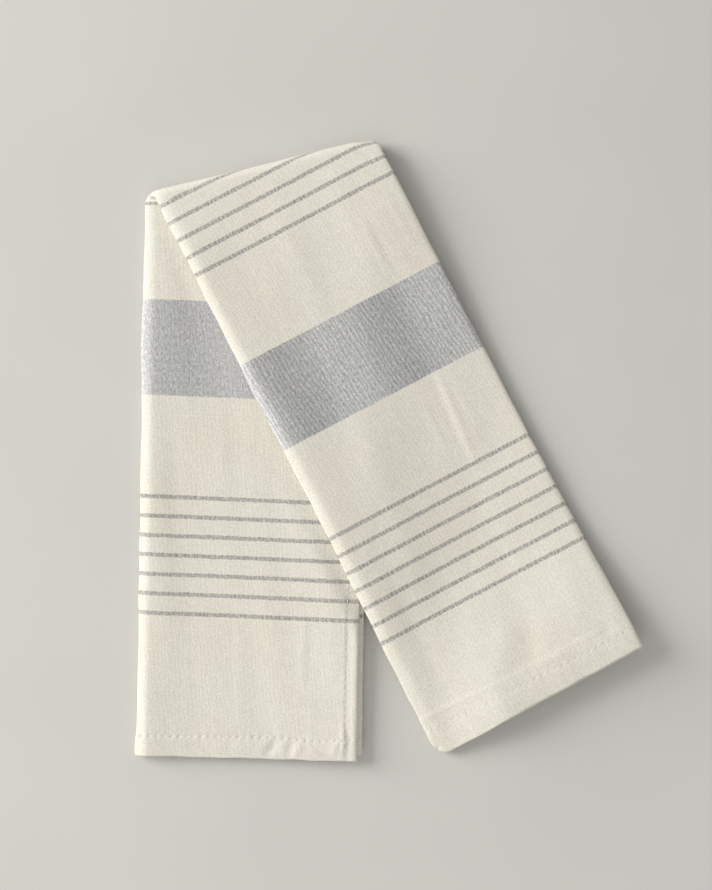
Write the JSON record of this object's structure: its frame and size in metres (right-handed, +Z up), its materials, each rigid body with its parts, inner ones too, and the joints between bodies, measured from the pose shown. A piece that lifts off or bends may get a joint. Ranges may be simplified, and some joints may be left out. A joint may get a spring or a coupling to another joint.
{
  "type": "folded tea towel",
  "caption": "Hemmed cotton tea towel with grey stripes, folded lengthwise into a layered strip and turned over on a slanting fold, so that it lies flat with its ends splayed.",
  "frame": {"origin": "middle of the folded towel's outline, on the surface it lies on", "axes": "+Z up from the surface; +Y towards the slanting fold, close to the lower strip's length; +X to the side where the upper strip's end points"},
  "size_m": [0.2902, 0.3577, 0.0109],
  "materials": {
    "cloth": "matt plain-weave cotton, cream with woven grey stripes and bands"
  },
  "bodies": {
    "root": {"towel": "cloth"}
  },
  "joints": []
}
